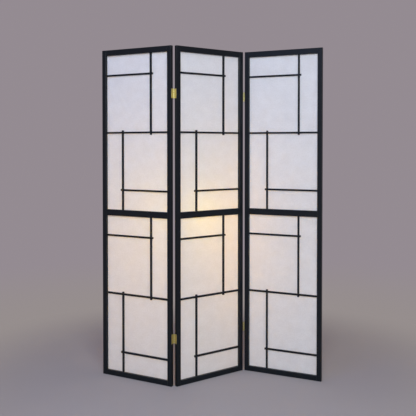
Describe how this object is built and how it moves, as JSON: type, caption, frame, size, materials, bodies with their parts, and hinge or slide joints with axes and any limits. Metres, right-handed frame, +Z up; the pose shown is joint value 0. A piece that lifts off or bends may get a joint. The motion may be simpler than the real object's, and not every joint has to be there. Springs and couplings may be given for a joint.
{
  "type": "folding screen",
  "caption": "Free-standing shoji folding screen: hinged black lacquered wood panels in a zigzag, each with a mid rail, an offset lattice and white paper, joined by brass butt hinges.",
  "frame": {"origin": "on the floor, at the middle of the box round the screen as it stands", "axes": "+Z up, the screen's length along X from its left end to its right end, its front faces towards -Y"},
  "size_m": [1.1948, 0.3139, 1.778],
  "materials": {
    "frame_lacquer": "black satin lacquer over fine straight grain, arrises lightly eased",
    "lattice_lacquer": "black satin lacquer over fine straight grain",
    "shoji_paper": "matt white fibre paper that lets light through",
    "brass": "plated yellow brass, lightly brushed",
    "brass_screws": "plated yellow brass"
  },
  "bodies": {
    "centre_panel": {"centre_panel_left_stile": "frame_lacquer", "centre_panel_right_stile": "frame_lacquer", "centre_panel_hinge_screws": "brass_screws", "centre_panel_top_rail": "frame_lacquer", "centre_panel_mid_rail": "frame_lacquer", "centre_panel_bottom_rail": "frame_lacquer", "centre_panel_hanging_bars": "lattice_lacquer", "centre_panel_standing_bars": "lattice_lacquer", "centre_panel_upper_cross_bars": "lattice_lacquer", "centre_panel_middle_cross_bars": "lattice_lacquer", "centre_panel_lower_cross_bars": "lattice_lacquer", "centre_panel_upper_paper": "shoji_paper", "centre_panel_upper_paper_beads": "frame_lacquer", "centre_panel_lower_paper": "shoji_paper", "centre_panel_lower_paper_beads": "frame_lacquer", "left_upper_hinge_centre_leaf": "brass", "left_lower_hinge_centre_leaf": "brass", "right_upper_hinge_centre_leaf": "brass", "right_lower_hinge_centre_leaf": "brass"},
    "left_panel": {"left_panel_left_stile": "frame_lacquer", "left_panel_right_stile": "frame_lacquer", "left_panel_hinge_screws": "brass_screws", "left_panel_top_rail": "frame_lacquer", "left_panel_mid_rail": "frame_lacquer", "left_panel_bottom_rail": "frame_lacquer", "left_panel_hanging_bars": "lattice_lacquer", "left_panel_standing_bars": "lattice_lacquer", "left_panel_upper_cross_bars": "lattice_lacquer", "left_panel_middle_cross_bars": "lattice_lacquer", "left_panel_lower_cross_bars": "lattice_lacquer", "left_panel_upper_paper": "shoji_paper", "left_panel_upper_paper_beads": "frame_lacquer", "left_panel_lower_paper": "shoji_paper", "left_panel_lower_paper_beads": "frame_lacquer", "left_upper_hinge_side_leaf": "brass", "left_upper_hinge_pin": "brass", "left_lower_hinge_side_leaf": "brass", "left_lower_hinge_pin": "brass"},
    "right_panel": {"right_panel_left_stile": "frame_lacquer", "right_panel_right_stile": "frame_lacquer", "right_panel_hinge_screws": "brass_screws", "right_panel_top_rail": "frame_lacquer", "right_panel_mid_rail": "frame_lacquer", "right_panel_bottom_rail": "frame_lacquer", "right_panel_hanging_bars": "lattice_lacquer", "right_panel_standing_bars": "lattice_lacquer", "right_panel_upper_cross_bars": "lattice_lacquer", "right_panel_middle_cross_bars": "lattice_lacquer", "right_panel_lower_cross_bars": "lattice_lacquer", "right_panel_upper_paper": "shoji_paper", "right_panel_upper_paper_beads": "frame_lacquer", "right_panel_lower_paper": "shoji_paper", "right_panel_lower_paper_beads": "frame_lacquer", "right_upper_hinge_side_leaf": "brass", "right_upper_hinge_pin": "brass", "right_lower_hinge_side_leaf": "brass", "right_lower_hinge_pin": "brass"}
  },
  "joints": [
    {"name": "left_fold", "type": "hinge", "parent": "centre_panel", "child": "left_panel", "pos_m": [-0.17858, -0.13721, 0.889], "axis": [0, 0, 1], "range_deg": [-117.3, 62.7]},
    {"name": "right_fold", "type": "hinge", "parent": "centre_panel", "child": "right_panel", "pos_m": [0.17188, 0.13666, 0.889], "axis": [0, 0, 1], "range_deg": [-120.3, 59.7]}
  ]
}
